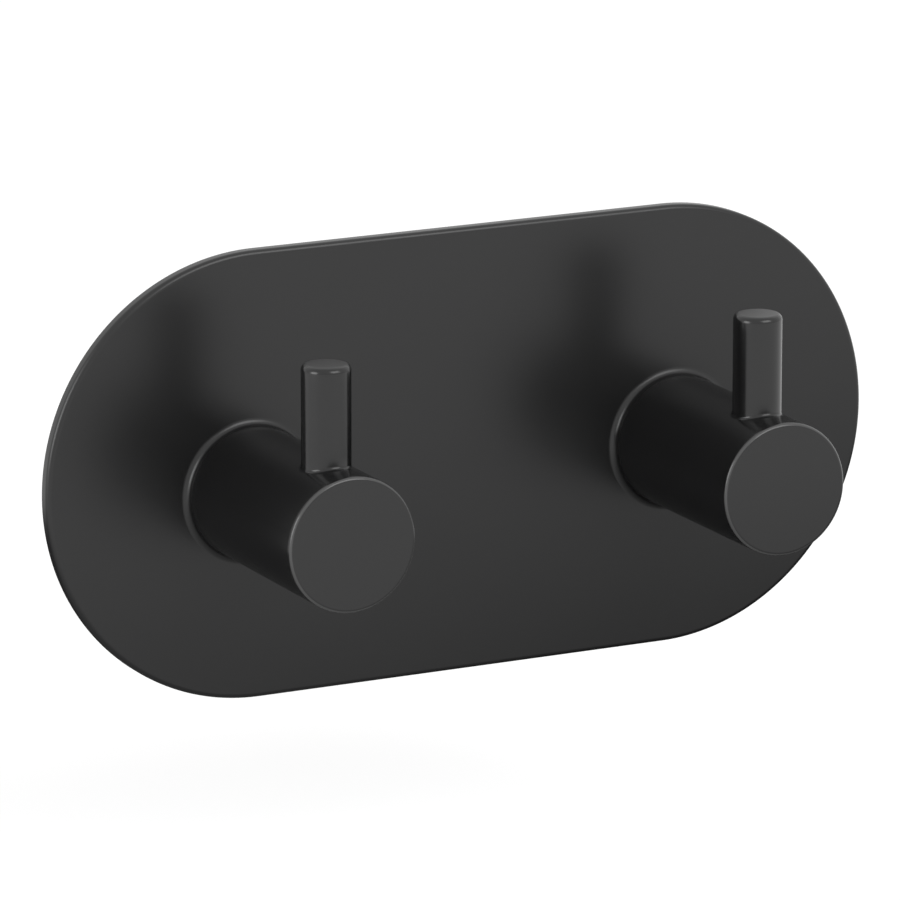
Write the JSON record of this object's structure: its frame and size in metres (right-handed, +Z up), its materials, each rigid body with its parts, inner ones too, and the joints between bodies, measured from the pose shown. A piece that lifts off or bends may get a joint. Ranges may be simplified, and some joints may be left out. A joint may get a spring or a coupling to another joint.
{
  "type": "double robe hook",
  "caption": "Obround wall plate with round pegs standing straight out of it, each with a short upright pin near its tip that keeps a robe or towel from sliding off.",
  "frame": {"origin": "the middle of the plate's back face, on the wall", "axes": "+Z up, +Y into the wall, +X to the right of someone who faces the wall; the pegs point along -Y"},
  "size_m": [0.108, 0.0291, 0.054],
  "materials": {
    "satin_black_coat": "satin"
  },
  "bodies": {
    "root": {"hook_body": "satin_black_coat"}
  },
  "joints": []
}
